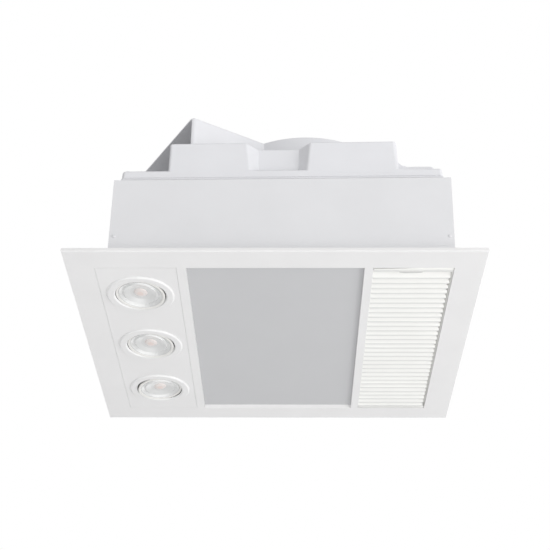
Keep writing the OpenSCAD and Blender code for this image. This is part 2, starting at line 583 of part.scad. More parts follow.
// ---------- exhaust grille ----------
// slat from its high near edge (y0) to its low far edge (y1)
module yz(x0, x1) translate([x0, 0, 0]) rotate([90, 0, 90]) linear_extrude(x1 - x0) children();
module slat(y0, y1) let (zl = fz0 + 0.3, zh = fz0 + 0.3 + slat_rise) difference() {
  yz(gr_x0 + 0.7, gr_x1 - 1.1) polygon([[y0, zh], [y1 - 0.3, zl], [y1, zl + 0.3], [y1, zl + 1.2], [y0 + 0.4, zh + 1.2], [y0, zh + 0.9]]);
  translate([0, 0, zl - 1]) linear_extrude(slat_rise + 4) polygon([[gr_x1 - 3.6, y0 - 1], [gr_x1, y0 - 1], [gr_x1, y0 + 9], [gr_x1 - 1.15, y0 + 9]]);
}
first_y = -160.8;
module exhaust_grille() color("floralwhite") difference() {
  union() {
    // near bar with its finger tab
    bar(gr_x0 + 0.4, gr_x1 - 0.4, oy0 + 0.4, -175.8, fz0 + 0.2, fz0 + 2);
    translate([0, 0, fz0 + 0.2]) linear_extrude(1.4) polygon([[140.5, -176], [169.5, -176], [166, -173.3], [144, -173.3]]);
    // far bar, low enough to turn about the pins inside the opening
    bar(gr_x0 + 0.7, gr_x1 - 1.1, 183.4, 188, fz0 + 0.2, fz0 + 0.9);
    bar(gr_x0 + 0.7, gr_x1 - 1.1, -178, -175, fz0 + 1, 1.2);
    slat(-176.4, first_y);
    for (k = [1:slat_count]) slat(first_y + (k - 1)*slat_pitch - 0.7, first_y + k*slat_pitch);
    for (x = [112, 156.8, 199.4]) bar(x, x + 2.2, -178, hinge_y - 6, 0.4, 6);
    for (x = [112, 199.4]) {
      bar(x, x + 2.2, hinge_y - 14, hinge_y - 4, 0, 4);
      bar(x, x + 2.2, hinge_y - 8, hinge_y, -2.4, 0.4);
      translate([x, hinge_y, hinge_z]) rotate([0, 90, 0]) cylinder(r = 2.2, h = 2.2);
    }
  }
  for (x = [111, 198.6]) translate([x, hinge_y, hinge_z]) rotate([0, 90, 0]) cylinder(r = 1.25, h = 5);
}
module grille_pins() color("silver") {
  translate([gr_x0 - 1.6, hinge_y, hinge_z]) rotate([0, 90, 0]) cylinder(r = 1.2, h = 6.6);
  translate([199, hinge_y, hinge_z]) rotate([0, 90, 0]) cylinder(r = 1.2, h = gr_x1 + 1.6 - 199);
}

body_front();
body_rear();
body_left();
body_right();
body_rivets();
top_cover();
cover_screws();
scroll_housing();
scroll_base();
inlet_ring();
scroll_screws();
motor_housing();
motor_stator();
motor_bushes();
motor_screws();
damper_pin();
run_capacitor();
junction_box();
junction_lid();
terminal_block();
cable_gland();
gland_nut();
led_driver();
heat_shield();
heater_reflector();
reflector_brackets();
quartz_lamp_left();
quartz_lamp_right();
lamp_holders();
thermal_cutout();
clip_keepers();
impeller();
motor_rotor();
motor_shaft();
impeller_nut();
damper_flap();
fascia_frame();
heater_glass();
glass_clips();
led_plate();
fascia_clips();
lamp_ring_1();
lamp_ring_2();
lamp_ring_3();
lamp_pivot_pins();
lamp_spring_clips();
grille_pins();
lamp_gimbal_1();
lamp_lens_1();
led_board_1();
lamp_heatsink_1();
lamp_gimbal_2();
lamp_lens_2();
led_board_2();
lamp_heatsink_2();
lamp_gimbal_3();
lamp_lens_3();
led_board_3();
lamp_heatsink_3();
exhaust_grille();
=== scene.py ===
import json
import math

import bmesh
import bpy
from mathutils import Matrix, Vector


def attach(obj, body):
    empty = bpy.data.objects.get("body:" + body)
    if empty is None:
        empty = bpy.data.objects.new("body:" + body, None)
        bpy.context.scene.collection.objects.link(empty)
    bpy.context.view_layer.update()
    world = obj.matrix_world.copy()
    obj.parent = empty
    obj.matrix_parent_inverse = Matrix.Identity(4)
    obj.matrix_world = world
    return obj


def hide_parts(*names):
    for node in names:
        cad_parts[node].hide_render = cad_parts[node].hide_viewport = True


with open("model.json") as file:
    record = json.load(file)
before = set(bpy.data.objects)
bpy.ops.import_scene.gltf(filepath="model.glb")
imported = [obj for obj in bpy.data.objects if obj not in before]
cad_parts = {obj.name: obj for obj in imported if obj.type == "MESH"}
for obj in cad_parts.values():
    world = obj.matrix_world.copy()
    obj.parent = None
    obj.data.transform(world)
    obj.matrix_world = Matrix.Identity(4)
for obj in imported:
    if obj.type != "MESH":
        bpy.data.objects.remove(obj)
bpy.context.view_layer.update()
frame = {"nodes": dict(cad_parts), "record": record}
N = frame["nodes"]
scene = bpy.context.scene
MM = 0.001


# ------------------------------------------------------------------ camera
def make_camera():
    yaw, pitch, roll = (math.radians(a) for a in (0.831, 32.801, 0.423))
    fwd = Vector((-math.sin(yaw) * math.cos(pitch), math.cos(yaw) * math.cos(pitch), math.sin(pitch)))
    right = fwd.cross(Vector((0, 0, 1))).normalized()
    up = right.cross(fwd)
    right2 = right * math.cos(roll) + up * math.sin(roll)
    up2 = up * math.cos(roll) - right * math.sin(roll)
    cam = bpy.data.objects.new("camera", bpy.data.cameras.new("camera"))
    scene.collection.objects.link(cam)
    m = Matrix((right2, up2, -fwd)).transposed().to_4x4()
    m.translation = Vector((9.0, -1338.0, -757.3)) * MM
    cam.matrix_world = m
    cam.data.sensor_width = 36.0
    cam.data.lens = 75.57
    cam.data.clip_start, cam.data.clip_end = 0.05, 30
    scene.camera = cam


# ------------------------------------------------------------------ materials
def new_mat(name):
    m = bpy.data.materials.new(name)
    m.use_nodes = True
    nt = m.node_tree
    for n in list(nt.nodes):
        nt.nodes.remove(n)
    out = nt.nodes.new("ShaderNodeOutputMaterial")
    bsdf = nt.nodes.new("ShaderNodeBsdfPrincipled")
    nt.links.new(bsdf.outputs["BSDF"], out.inputs["Surface"])
    return m, nt, bsdf


def noise(nt, scale, detail=2.0, rough=0.5, stretch=None):
    tc = nt.nodes.new("ShaderNodeTexCoord")
    src = tc.outputs["Object"]
    if stretch:
        mp = nt.nodes.new("ShaderNodeMapping")
        mp.inputs["Scale"].default_value = stretch
        nt.links.new(src, mp.inputs["Vector"])
        src = mp.outputs["Vector"]
    n = nt.nodes.new("ShaderNodeTexNoise")
    n.inputs["Scale"].default_value = scale
    n.inputs["Detail"].default_value = detail
    n.inputs["Roughness"].default_value = rough
    nt.links.new(src, n.inputs["Vector"])
    return n.outputs["Fac"]


def ramp(nt, fac, lo, hi, c0, c1):
    r = nt.nodes.new("ShaderNodeValToRGB")
    r.color_ramp.elements[0].position = lo
    r.color_ramp.elements[0].color = (*c0, 1)
    r.color_ramp.elements[1].position = hi
    r.color_ramp.elements[1].color = (*c1, 1)
    nt.links.new(fac, r.inputs["Fac"])
    return r.outputs["Color"]


def rng(nt, fac, a, b):
    r = nt.nodes.new("ShaderNodeMapRange")
    r.inputs["To Min"].default_value = a
    r.inputs["To Max"].default_value = b
    nt.links.new(fac, r.inputs["Value"])
    return r.outputs["Result"]


def bump(nt, bsdf, fac, dist, strength):
    b = nt.nodes.new("ShaderNodeBump")
    b.inputs["Distance"].default_value = dist
    b.inputs["Strength"].default_value = strength
    nt.links.new(fac, b.inputs["Height"])
    nt.links.new(b.outputs["Normal"], bsdf.inputs["Normal"])


def painted(name, color, rough=0.42, spread=0.012, peel=900, depth=0.00003, strength=0.25, metal=0.0, stretch=None, spec=0.5, coat=0.0):
    """A plain finish with slight cloudiness, roughness variation and a fine skin."""
    m, nt, b = new_mat(name)
    cloud = noise(nt, 14, 3.0)
    c0 = tuple(max(0, c * (1 - spread)) for c in color)
    c1 = tuple(min(1, c * (1 + spread)) for c in color)
    nt.links.new(ramp(nt, cloud, 0.35, 0.65, c0, c1), b.inputs["Base Color"])
    nt.links.new(rng(nt, noise(nt, 60, 2.0), rough - 0.04, rough + 0.04), b.inputs["Roughness"])
    b.inputs["Metallic"].default_value = metal
    b.inputs["Specular IOR Level"].default_value = spec
    if coat:
        b.inputs["Coat Weight"].default_value = coat
        b.inputs["Coat Roughness"].default_value = 0.25
    bump(nt, b, noise(nt, peel, 2.0, 0.5, stretch), depth, strength)
    return m


def glass(name, color, rough, trans, ior=1.5, alpha=1.0):
    m, nt, b = new_mat(name)
    cloud = noise(nt, 30, 2.0)
    c0 = tuple(c * 0.99 for c in color)
    nt.links.new(ramp(nt, cloud, 0.3, 0.7, c0, color), b.inputs["Base Color"])
    nt.links.new(rng(nt, noise(nt, 90), max(0, rough - 0.02), rough + 0.02), b.inputs["Roughness"])
    b.inputs["Transmission Weight"].default_value = trans
    b.inputs["IOR"].default_value = ior
    return m


M = {
    "white_steel": painted("white_steel", (0.77, 0.772, 0.788), 0.42),
    "white_cover": painted("white_cover", (0.792, 0.795, 0.82), 0.5, peel=700),
    "white_fascia": painted("white_fascia", (0.81, 0.806, 0.805), 0.38),
    "white_lamp_trim": painted("white_lamp_trim", (0.805, 0.802, 0.8), 0.3),
    "grille_white": painted("grille_white", (0.88, 0.88, 0.855), 0.45),
    # painted shade for the slat feet and the near bar's set-back underside
    "grille_painted_shade": painted("grille_painted_shade", (0.765, 0.765, 0.75), 0.5),
    # painted shadow under the finger tab
    "grille_painted_shadow": painted("grille_painted_shadow", (0.62, 0.62, 0.61), 0.5),
    "white_moulding": painted("white_moulding", (0.74, 0.74, 0.74), 0.5),
    "frosted_glass": painted("frosted_glass", (0.553, 0.556, 0.566), 0.5, spread=0.006, peel=2500, strength=0.1),
    "clear_lens": painted("clear_lens", (0.795, 0.8, 0.795), 0.25, spread=0.01, peel=1500, strength=0.05, metal=0.35),
    # brighter white on the trim rings' chamfers: a painted highlight
    "lamp_painted_highlight": painted("lamp_painted_highlight", (0.86, 0.86, 0.86), 0.3),
    "lamp_cream": painted("lamp_cream", (0.8, 0.793, 0.768), 0.35),
    "led_halo": painted("led_halo", (0.765, 0.71, 0.69), 0.35, spread=0.01),
    "quartz": glass("quartz", (0.93, 0.9, 0.85), 0.08, 0.9, 1.46),
    "grey_plastic": painted("grey_plastic", (0.1, 0.1, 0.105), 0.5),
    "zinc_steel": painted("zinc_steel", (0.55, 0.56, 0.58), 0.38, spread=0.08, metal=1.0, stretch=(1, 12, 12)),
    "spring_steel": painted("spring_steel", (0.5, 0.5, 0.52), 0.25, spread=0.05, metal=1.0, stretch=(1, 14, 14)),
    "polished_aluminium": painted("polished_aluminium", (0.86, 0.86, 0.87), 0.14, spread=0.02, metal=1.0, stretch=(1, 1, 18)),
    "cast_aluminium": painted("cast_aluminium", (0.62, 0.62, 0.64), 0.48, spread=0.08, metal=1.0, peel=500, strength=0.5),
    "bearing_bronze": painted("bearing_bronze", (0.55, 0.34, 0.16), 0.4, spread=0.08, metal=1.0),
    "black_plastic": painted("black_plastic", (0.02, 0.02, 0.021), 0.45),
    "ceramic": painted("ceramic", (0.78, 0.75, 0.68), 0.6, spread=0.03),
    "led_phosphor": painted("led_phosphor", (0.765, 0.665, 0.63), 0.5, spread=0.02),
}

slot_of = {s["node"]: s["material_slot"] for s in frame["record"]["subparts"]}
for name, o in N.items():
    o.data.materials.clear()
    o.data.materials.append(M[slot_of[name]])


# ------------------------------------------------------------------ edge finishing of the CAD nodes
def smooth_group(name, angle, clean):
    """Geometry nodes: optionally weld the mesh and drop its imported normals, then smooth shading with sharp edges above angle."""
    g = bpy.data.node_groups.new(name, "GeometryNodeTree")
    g.interface.new_socket("Geometry", in_out="INPUT", socket_type="NodeSocketGeometry")
    g.interface.new_socket("Geometry", in_out="OUTPUT", socket_type="NodeSocketGeometry")
    gi = g.nodes.new("NodeGroupInput")
    go = g.nodes.new("NodeGroupOutput")
    last = gi.outputs[0]
    if clean:
        rm = g.nodes.new("GeometryNodeRemoveAttribute")
        rm.inputs["Name"].default_value = "custom_normal"
        g.links.new(last, rm.inputs["Geometry"])
        mg = g.nodes.new("GeometryNodeMergeByDistance")
        mg.inputs["Distance"].default_value = 0.000002
        g.links.new(rm.outputs["Geometry"], mg.inputs["Geometry"])
        last = mg.outputs["Geometry"]
    sf = g.nodes.new("GeometryNodeSetShadeSmooth")
    sf.domain = "FACE"
    sf.inputs["Shade Smooth"].default_value = True
    g.links.new(last, sf.inputs["Geometry"])
    ea = g.nodes.new("GeometryNodeInputMeshEdgeAngle")
    cmp_ = g.nodes.new("FunctionNodeCompare")
    cmp_.data_type = "FLOAT"
    cmp_.operation = "GREATER_THAN"
    cmp_.inputs["B"].default_value = math.radians(angle)
    g.links.new(ea.outputs["Unsigned Angle"], cmp_.inputs["A"])
    se = g.nodes.new("GeometryNodeSetShadeSmooth")
    se.domain = "EDGE"
    se.inputs["Shade Smooth"].default_value = False
    g.links.new(sf.outputs["Geometry"], se.inputs["Geometry"])
    g.links.new(cmp_.outputs["Result"], se.inputs["Selection"])
    g.links.new(se.outputs["Geometry"], go.inputs[0])
    return g


CLEAN = smooth_group("clean_mesh", 180, True)
SHARP = smooth_group("shade_by_angle", 34, False)


def finish_edges(o, width, segments=2, dissolve=1.0):
    m = o.modifiers.new("clean", "NODES")
    m.node_group = CLEAN
    if dissolve:
        d = o.modifiers.new("planar", "DECIMATE")
        d.decimate_type = "DISSOLVE"
        d.angle_limit = math.radians(dissolve)
    if width:
        b = o.modifiers.new("edge", "BEVEL")
        b.width = width * MM
        b.segments = segments
        b.limit_method = "ANGLE"
        b.angle_limit = math.radians(34)
        b.use_clamp_overlap = True
        b.harden_normals = False
    s = o.modifiers.new("shade", "NODES")
    s.node_group = SHARP
    w = o.modifiers.new("normals", "WEIGHTED_NORMAL")
    w.keep_sharp = True
    w.weight = 60


def shift_points(o, lo, hi, offset, rise=0.0, lean_out=0.0):
    """Geometry nodes at the start of the stack: the points inside a box (millimetres) move by an offset, plus rise * x upwards and lean_out * z sideways."""
    g = bpy.data.node_groups.new("draft", "GeometryNodeTree")
    g.interface.new_socket("Geometry", in_out="INPUT", socket_type="NodeSocketGeometry")
    g.interface.new_socket("Geometry", in_out="OUTPUT", socket_type="NodeSocketGeometry")
    gi, go = g.nodes.new("NodeGroupInput"), g.nodes.new("NodeGroupOutput")
    pos, sep = g.nodes.new("GeometryNodeInputPosition"), g.nodes.new("ShaderNodeSeparateXYZ")
    g.links.new(pos.outputs[0], sep.inputs[0])
    inside = None
    for k in range(3):
        for limit, way in ((lo[k], "GREATER_THAN"), (hi[k], "LESS_THAN")):
            c = g.nodes.new("FunctionNodeCompare")
            c.data_type, c.operation = "FLOAT", way
            c.inputs["B"].default_value = limit * MM
            g.links.new(sep.outputs[k], c.inputs["A"])
            if inside is None:
                inside = c.outputs["Result"]
            else:
                both = g.nodes.new("FunctionNodeBooleanMath")
                both.operation = "AND"
                g.links.new(inside, both.inputs[0])
                g.links.new(c.outputs["Result"], both.inputs[1])
                inside = both.outputs[0]
    sp = g.nodes.new("GeometryNodeSetPosition")
    vec = g.nodes.new("ShaderNodeCombineXYZ")
    for source, target, factor, const in ((2, 0, lean_out, offset[0]), (0, 2, rise, offset[2])):
        ma = g.nodes.new("ShaderNodeMath")
        ma.operation = "MULTIPLY_ADD"
        ma.inputs[1].default_value = factor
        ma.inputs[2].default_value = const * MM
        g.links.new(sep.outputs[source], ma.inputs[0])
        g.links.new(ma.outputs[0], vec.inputs[target])
    vec.inputs[1].default_value = offset[1] * MM
    g.links.new(vec.outputs[0], sp.inputs["Offset"])
    g.links.new(gi.outputs[0], sp.inputs["Geometry"])
    g.links.new(inside, sp.inputs["Selection"])
    g.links.new(sp.outputs["Geometry"], go.inputs[0])
    m = o.modifiers.new("draft", "NODES")
    m.node_group = g
    o.modifiers.move(len(o.modifiers) - 1, 0)


WIDTH = {"body_front": 0.45, "body_rear": 0.45, "body_left": 0.45, "body_right": 0.45, "top_cover": 1.2, "scroll_housing": 1.2, "fascia_frame": 0.65, "led_plate": 1.1,
         "heater_glass": 0.4, "exhaust_grille": 0.25, "junction_box": 0.8, "junction_lid": 0.4, "led_driver": 0.8,
         "heat_shield": 0.3, "run_capacitor": 0.4, "motor_housing": 0.6, "impeller": 0.3, "damper_flap": 0.3,
         "cable_gland": 0.5, "terminal_block": 0.4, "lamp_holders": 0.6}
for name, o in N.items():
    finish_edges(o, WIDTH.get(name, 0.2))
for side in ("body_front", "body_rear", "body_left", "body_right"):
    shift_points(N[side], (-215, -200, 121.2), (215, 200, 123.4), (0, 0, -0.85), rise=0.0093)
for side in ("body_front", "body_rear", "body_right"):
    shift_points(N[side], (207.5, -200, -2), (209.5, 200, 123.4), (-2.2, 0, 0), lean_out=0.0303)
for side in ("body_front", "body_rear", "body_left"):
    shift_points(N[side], (-209.5, -200, -2), (-207.5, 200, 123.4), (0.8, 0, 0), lean_out=-0.0066)
shift_points(N["fascia_frame"], (-114.6, 188.9, -4.7), (99.4, 189.1, -4.5), (0, 0.9, 0))
shift_points(N["fascia_frame"], (-114.6, 188.9, -0.3), (99.4, 189.1, 0.3), (0, -1.3, 0))
for y, z, dy, dz in ((-222, -3.8, 0, -0.15), (-221.5, -3.8, 0.1, -0.625), (-221.5, -4.6, 0.7, -0.3)):
    shift_points(N["fascia_frame"], (-259, y - 0.1, z - 0.1), (243, y + 0.1, z + 0.1), (0, dy, dz))


# ------------------------------------------------------------------ modelled pieces that stand for CAD nodes
def solid(name, verts, faces, material, body, nodes=(), bevel=0.0, segments=2, angle=30, more=(), index=None):
    """A closed mesh in millimetres of the row frame, with rounded edges, that rides on a body."""
    me = bpy.data.meshes.new(name)
    me.from_pydata([tuple(c * MM for c in v) for v in verts], [], faces)
    for i, k in (index or {}).items():
        me.polygons[i].material_index = k
    me.validate()
    bm = bmesh.new()
    bm.from_mesh(me)
    bmesh.ops.recalc_face_normals(bm, faces=bm.faces)
    bm.to_mesh(me)
    bm.free()
    o = bpy.data.objects.new(name, me)
    scene.collection.objects.link(o)
    for one in (material, *more):
        o.data.materials.append(M[one])
    dress(o, bevel, segments, angle)
    place(o, body, nodes)
    return o


def dress(o, bevel, segments=2, angle=30):
    if bevel:
        b = o.modifiers.new("edge", "BEVEL")
        b.width = bevel * MM
        b.segments = segments
        b.limit_method = "ANGLE"
        b.angle_limit = math.radians(angle)
        b.use_clamp_overlap = True
    s = o.modifiers.new("shade", "NODES")
    s.node_group = SHARP
    w = o.modifiers.new("normals", "WEIGHTED_NORMAL")
    w.keep_sharp = True
    w.weight = 60


def place(o, body, nodes):
    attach(o, body)
    if nodes:
        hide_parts(*nodes)


class Build:
    """Collects closed shapes in millimetres."""

    def __init__(self):
        self.v, self.f, self.m = [], [], {}

    def loft(self, sections, mats=None):
        """Equal-length rings of points, joined in order, with flat ends. mats gives the material index behind each point of a ring."""
        n = len(sections[0])
        base = len(self.v)
        for ring in sections:
            self.v += list(ring)
        for i in range(len(sections) - 1):
            for j in range(n):
                a, b = base + i * n + j, base + i * n + (j + 1) % n
                if mats and mats[j]:
                    self.m[len(self.f)] = mats[j]
                self.f.append((a, b, b + n, a + n))
        self.f.append(tuple(base + j for j in reversed(range(n))))
        last = base + (len(sections) - 1) * n
        self.f.append(tuple(last + j for j in range(n)))

    def bar_x(self, profile, x0, x1):
        self.loft([[(x, y, z) for y, z in profile] for x in (x0, x1)])

    def box(self, x0, x1, y0, y1, z0, z1):
        self.bar_x([(y0, z0), (y1, z0), (y1, z1), (y0, z1)], x0, x1)

    def tube_x(self, x0, x1, y, z, r0, r1, n=32):
        """A ring round an axis along X, with a hole of radius r0."""
        base = len(self.v)
        for x, r in ((x0, r0), (x0, r1), (x1, r1), (x1, r0)):
            for i in range(n):
                a = 2 * math.pi * i / n
                self.v.append((x, y + r * math.cos(a), z + r * math.sin(a)))
        for k in range(4):
            for i in range(n):
                a, b = base + k * n + i, base + k * n + (i + 1) % n
                c = ((k + 1) % 4 - k) * n
                self.f.append((a, b, b + c, a + c))


# ------------------------------------------------------------------ exhaust grille
def make_grille():
    """Thirty inclined slats with a narrow flat foot, a near bar with a finger tab, side flanges and rails behind. The
    feet and the near bar's set-back underside take a darker paint, a painted shade; the tab's underside takes a darker
    one still, a painted shadow.
    """
    b = Build()
    z0, pitch, first, foot, rise, drop = -4.4, 11.49, -160.8, 3.2, 5.0, 0.0
    xl, xr = 109.65, 203.5
    slope = rise / (pitch - foot)

    def slat(y0, y1):
        face = lambda y: z0 + slope * (y1 - foot - y)

        def ring(near, far):
            return [(near, face(near)), (y1 - foot, z0), (far, z0), (far, z0 + 0.9), (y1 - foot - 0.2, z0 + 1.4), (near + 0.4, face(near) + 1.2)]

        seen = y0 + (8.9 if k == 0 else 8.88) / 2.071
        stations = ((xl, y0 - 0.6, y1 - 1.0), (xl + 0.8, y0 - 0.6, y1), (xr - 3.0, y0 - 0.6, y1), (xr - 2.98, seen, y1),
                    (xr - 2.0, seen + 0.35, y1 - 0.2), (xr, seen + 1.0, y1 - 2.4))
        # each slat's flat foot takes the second, darker paint: painted shade between the slats
        b.loft([[(x, y, z) for y, z in ring(near, far)] for x, near, far in stations], [0, 1, 0, 0, 0, 0])

    for k in range(31):
        y1 = first + k * pitch
        slat(-175.4 if k == 0 else y1 - pitch, y1)
    # near bar: bright lip, set-back underside in painted shade, finger tab
    lip = lambda y: -2.6 - 0.594 * (y + 185.0)
    rings = []
    for x, yn in ((110.3, -182.5), (130.0, -182.7), (150.0, -183.2), (172.0, -184.9), (205.3, -184.9)):
        rings.append([(x, yn, lip(yn)), (x, -181.8, -4.5), (x, -181.8, -3.7), (x, -174.8, -3.3), (x, -174.8, -2.0), (x, yn, -1.6)])
    b.loft(rings, [0, 1, 1, 0, 0, 0])
    tab = ((140.5, -177.5), (169.5, -177.5), (169.5, -175.7), (167.6, -173.8), (163.0, -172.8), (147.0, -172.8), (142.4, -173.8), (140.5, -175.7))
    b.loft([[(x, y, -4.2 + 0.12 * (y + 178.0)) for x, y in tab], [(x, y, -2.4) for x, y in tab]])
    # the tab's underside takes the third, darkest paint: a painted shadow
    b.m[len(b.f) - 2] = 2
    # far bar and side flanges
    b.box(110.2, 205.0, 183.4, 188.0, -4.4, -3.6)
    for x, s in ((205.75, -1), (109.6, 1)):
        b.loft([[(x, y, -4.2 if s < 0 else -2.6), (x, y, -3.6 if s < 0 else -2.0), (x + s * 2.6, y, 5.8), (x + s * 2.2, y, 5.8), (x + s * 2.2, y, 0.4)] for y in (-184.9, 187.0)])
    # rails and hinge eyes
    for x in (112, 156.8, 199.4):
        b.box(x, x + 2.2, -178, 180, 0.4, 6)
    for x in (112, 199.4):
        b.box(x, x + 2.2, 172, 182, 0, 4)
        b.box(x, x + 2.2, 178, 184.6, -2.4, 0.4)
        b.tube_x(x, x + 2.2, 186, -2.4, 1.25, 2.2)
    solid("grille", b.v, b.f, "grille_white", "grille", ("exhaust_grille",), bevel=0.3, segments=2, angle=20, more=("grille_painted_shade", "grille_painted_shadow"), index=b.m)


make_grille()


# ------------------------------------------------------------------ moulded cover and fan scroll
def arc_poly(pts, radii, n=6):
    """The polygon with each corner rounded by its own radius, n steps a corner."""
    out = []
    for i, (p, r) in enumerate(zip(pts, radii)):
        b = Vector(p)
        d1 = (Vector(pts[i - 1]) - b).normalized()
        d2 = (Vector(pts[(i + 1) % len(pts)]) - b).normalized()
        half = math.acos(max(-1, min(1, d1.dot(d2)))) / 2
        c = b + (d1 + d2).normalized() * (r / math.sin(half))
        s, e = b + d1 * r / math.tan(half) - c, b + d2 * r / math.tan(half) - c
        a0 = math.atan2(s.y, s.x)
        turn = (math.atan2(e.y, e.x) - a0 + math.pi) % (2 * math.pi) - math.pi
        for k in range(n + 1):
            a = a0 + turn * k / n
            out.append((c.x + r * math.cos(a), c.y + r * math.sin(a)))
    return out


def inward(ring, d):
    """An anticlockwise ring with its sides moved inwards by d."""
    out = []
    for i, p in enumerate(ring):
        a, b, c = Vector(ring[i - 1]), Vector(p), Vector(ring[(i + 1) % len(ring)])
        e1, e2 = (b - a).normalized(), (c - b).normalized()
        n1, n2 = Vector((-e1.y, e1.x)), Vector((-e2.y, e2.x))
        out.append(tuple(b + (n1 + n2) * (d / max(0.3, 1 + n1.dot(n2)))))
    return out


def tower(bottom, top, z0, z1, r=0.0, steps=5):
    """A drafted block whose top edge is rounded by r."""
    b = Build()
    rings = [[(x, y, z0) for x, y in bottom]]
    if r:
        t = (z1 - r - z0) / (z1 - z0)
        mid = [(p[0] + (q[0] - p[0]) * t, p[1] + (q[1] - p[1]) * t) for p, q in zip(bottom, top)]
        for k in range(steps + 1):
            a = math.pi / 2 * k / steps
            rings.append([(x, y, z1 - r + r * math.sin(a)) for x, y in inward(mid, r * (1 - math.cos(a)))])
    else:
        rings.append([(x, y, z1) for x, y in top])
    b.loft(rings)
    return b


def lean(b, above, f):
    """The points higher than a level move up by f(x)."""
    b.v = [(x, y, z + f(x) if z > above else z) for x, y, z in b.v]
    return b


def rect(hx, hy):
    return [(-hx, -hy), (hx, -hy), (hx, hy), (-hx, hy)]


def disc(cx, cy, r, n=96):
    return [(cx + r * math.cos(2 * math.pi * i / n), cy + r * math.sin(2 * math.pi * i / n)) for i in range(n)]


def raw(b):
    me = bpy.data.meshes.new("raw")
    me.from_pydata([tuple(c * MM for c in v) for v in b.v], [], b.f)
    bm = bmesh.new()
    bm.from_mesh(me)
    bmesh.ops.recalc_face_normals(bm, faces=bm.faces)
    bm.to_mesh(me)
    bm.free()
    o = bpy.data.objects.new("raw", me)
    scene.collection.objects.link(o)
    return o


def combine(base, b, operation):
    """Adds the shape to the base, or takes it away; the shape's own object is removed."""
    other = raw(b)
    m = base.modifiers.new("shape", "BOOLEAN")
    m.object = other
    m.operation = operation
    m.solver = "EXACT"
    dg = bpy.context.evaluated_depsgraph_get()
    dg.update()
    me = bpy.data.meshes.new_from_object(base.evaluated_get(dg), depsgraph=dg)
    base.modifiers.clear()
    base.data = me
    bpy.data.objects.remove(other)


def settle(o, name, node, body):
    """The finished shape of a node: dissolved flats, shading by angle, its material and its place in the frame."""
    o.name = o.data.name = name
    slot = slot_of[node]
    o.data.materials.clear()
    o.data.materials.append(M[slot])
    d = o.modifiers.new("planar", "DECIMATE")
    d.decimate_type = "DISSOLVE"
    d.angle_limit = math.radians(0.3)
    dress(o, 0)
    place(o, body, (node,))


duct_angle = math.radians(30.3)
DU = Vector((math.cos(duct_angle), math.sin(duct_angle)))
DN = Vector((-DU.y, DU.x))
MOUTH_P = Vector((-118.5, -172.0))
MOUTH_M = MOUTH_P + 140 * Vector((math.cos(math.radians(122.7)), math.sin(math.radians(122.7))))
DRUM = Vector((32.0, 1.5))
DRUM_R = 131.95
TOUCH_R = DRUM_R - 0.4
M1 = MOUTH_M + 90 * DU
to_drum = DRUM - M1
tan_a = math.atan2(to_drum.y, to_drum.x) + math.asin(TOUCH_R / to_drum.length)
TOUCH = M1 + math.sqrt(to_drum.length ** 2 - TOUCH_R ** 2) * Vector((math.cos(tan_a), math.sin(tan_a)))
NT = Vector((-math.sin(tan_a), math.cos(tan_a)))
MITER = (DN + NT) / (1 + DN.dot(NT))
SCREWS = [math.radians(a) for a in (-112, -58, 2, 50, 95, 135)]
FAN = Vector((27.0, -9.0))


def duct_outline(e, m):
    return [tuple(q) for q in (MOUTH_P - e * DN - m * DU, MOUTH_P - e * DN + 128 * DU, DRUM, DRUM + (TOUCH_R + e) * (TOUCH - DRUM) / TOUCH_R,
                               M1 + e * MITER, MOUTH_M + e * DN - m * DU)]


def on_ring(a, r=138.5):
    return DRUM.x + r * math.cos(a), DRUM.y + r * math.sin(a)


def flat(ring, z0, z1):
    return tower(ring, ring, z0, z1)


def make_scroll():
    outer = arc_poly(duct_outline(0, 0), (6.0, 3.0, 3.0, 3.0, 8.0, 2.9), 7)
    up = lambda x: 1.7 - 0.0037 * (x + 190)
    o = raw(lean(tower(outer, outer, 137.5, 241.8, 2.6), 200, up))
    drum = disc(DRUM.x, DRUM.y, DRUM_R, 180)
    combine(o, lean(tower(drum, drum, 137.5, 241.8, 2.6), 200, up), "UNION")
    combine(o, flat(disc(DRUM.x, DRUM.y, 143.6, 180), 137.5, 140.0), "UNION")
    combine(o, flat(disc(DRUM.x, DRUM.y, DRUM_R - 2.5, 180), 136.5, 239.3), "DIFFERENCE")
    inner = duct_outline(-2.5, 9.0)
    combine(o, flat(inner, 136.4, 239.3), "DIFFERENCE")
    w = [MOUTH_P - 0.01 * DU - 20 * DN, MOUTH_P - 60 * DU - 20 * DN, MOUTH_M - 60 * DU + 20 * DN, MOUTH_M - 0.01 * DU + 20 * DN]
    combine(o, flat([tuple(q) for q in reversed(w)], 136.5, 141.0), "DIFFERENCE")
    holes = Build()
    for a in SCREWS:
        x, y = on_ring(a)
        holes.loft([[(px, py, z) for px, py in disc(x, y, 2.1, 24)] for z in (136.5, 141.0)])
    for q in (45, 135, 225, 315):
        a = math.radians(q)
        holes.loft([[(px, py, z) for px, py in disc(FAN.x + 47.8 * math.cos(a), FAN.y + 47.8 * math.sin(a), 2.1, 24)] for z in (238.3, 246.0)])
    combine(o, holes, "DIFFERENCE")
    settle(o, "scroll", "scroll_housing", "body")


